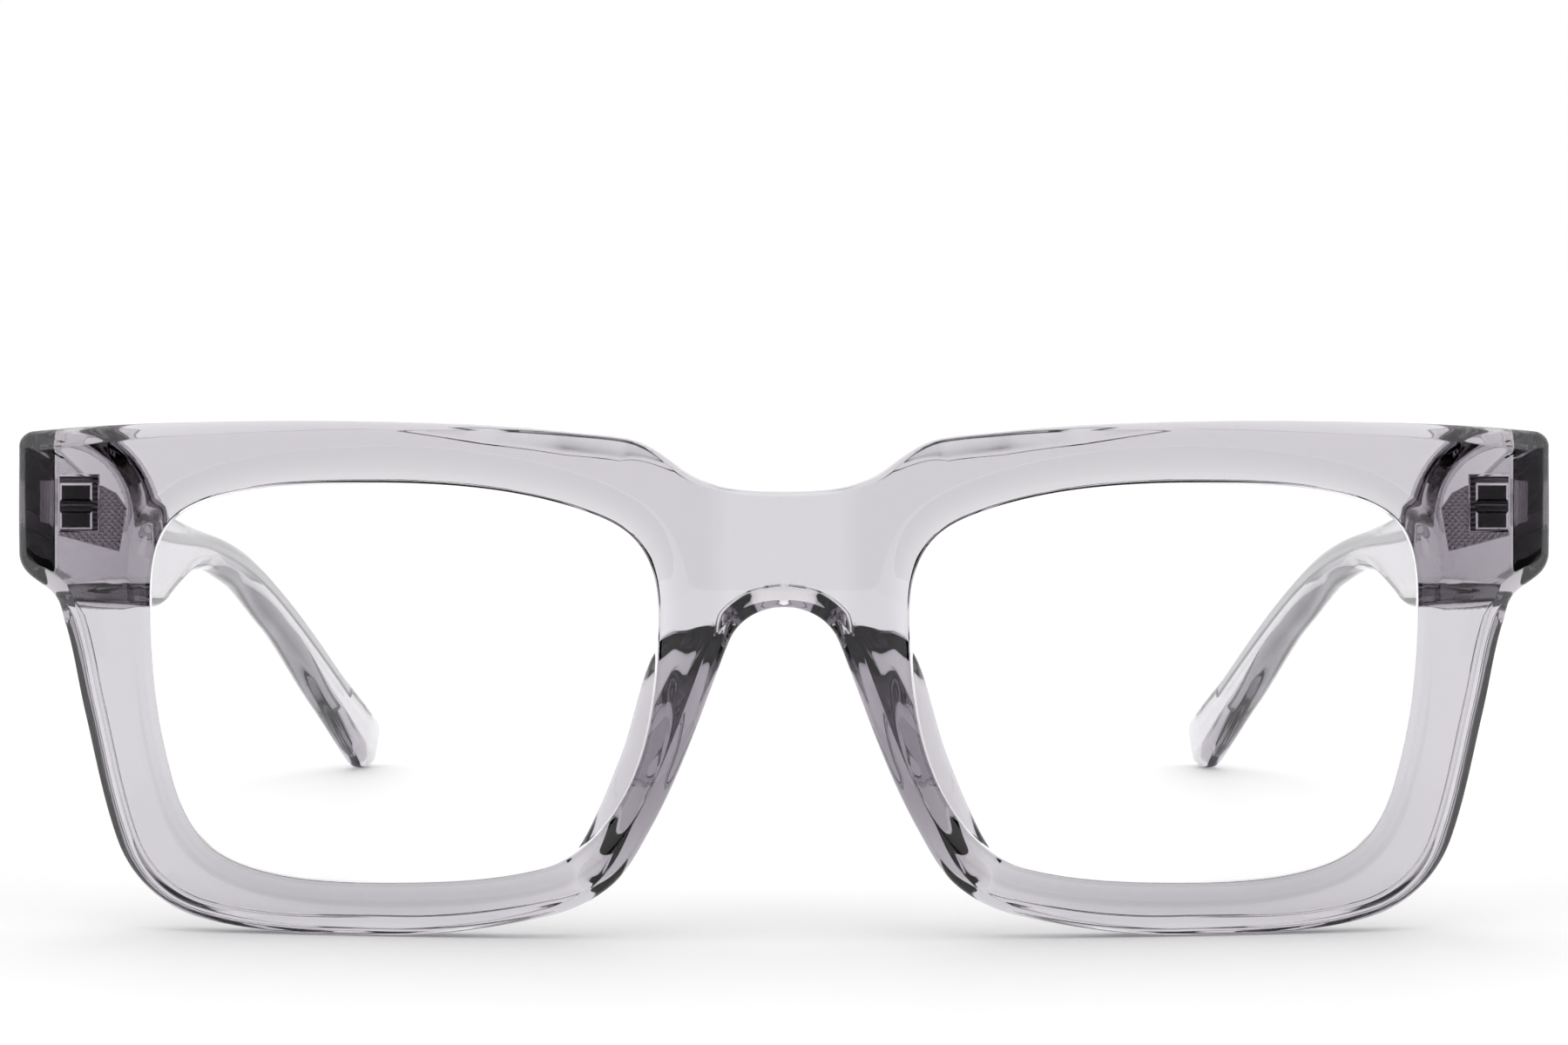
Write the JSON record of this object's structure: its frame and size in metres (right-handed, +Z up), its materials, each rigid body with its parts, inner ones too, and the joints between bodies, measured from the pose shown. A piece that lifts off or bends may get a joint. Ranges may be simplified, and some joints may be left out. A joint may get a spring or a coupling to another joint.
{
  "type": "eyeglasses",
  "caption": "Rectangular full-rim eyeglasses: clear crystal-grey frame, clear lenses, fixed nose pads, and temples that fold on barrel hinges.",
  "frame": {"origin": "middle of the open glasses' footprint on the table they stand on", "axes": "+X to the wearer's left, +Y back along the temples, +Z up from the table"},
  "size_m": [0.146, 0.1486, 0.0487],
  "materials": {
    "acetate": "polished clear crystal-grey acetate",
    "lens": "clear polished lens without tint",
    "hinge_metal": "nickel silver, knurled where it sits in the acetate",
    "screw_metal": "bright screw with a slotted head",
    "core_metal": "plain nickel silver wire"
  },
  "bodies": {
    "front_frame": {"front": "acetate", "nose_pad_left": "acetate", "nose_pad_right": "acetate", "lens_left": "lens", "lens_right": "lens", "front_hinge_left": "hinge_metal", "front_hinge_right": "hinge_metal", "hinge_screw_left": "screw_metal", "hinge_screw_right": "screw_metal"},
    "left_temple": {"temple_left": "acetate", "core_wire_left": "core_metal", "temple_hinge_left": "hinge_metal"},
    "right_temple": {"temple_right": "acetate", "core_wire_right": "core_metal", "temple_hinge_right": "hinge_metal"}
  },
  "joints": [
    {"name": "left_temple_fold", "type": "hinge", "parent": "front_frame", "child": "left_temple", "pos_m": [0.0675, -0.05823, 0.04015], "axis": [0, 0, 1], "range_deg": [0, 84]},
    {"name": "right_temple_fold", "type": "hinge", "parent": "front_frame", "child": "right_temple", "pos_m": [-0.0675, -0.05823, 0.04015], "axis": [0, 0, -1], "range_deg": [0, 80]}
  ]
}
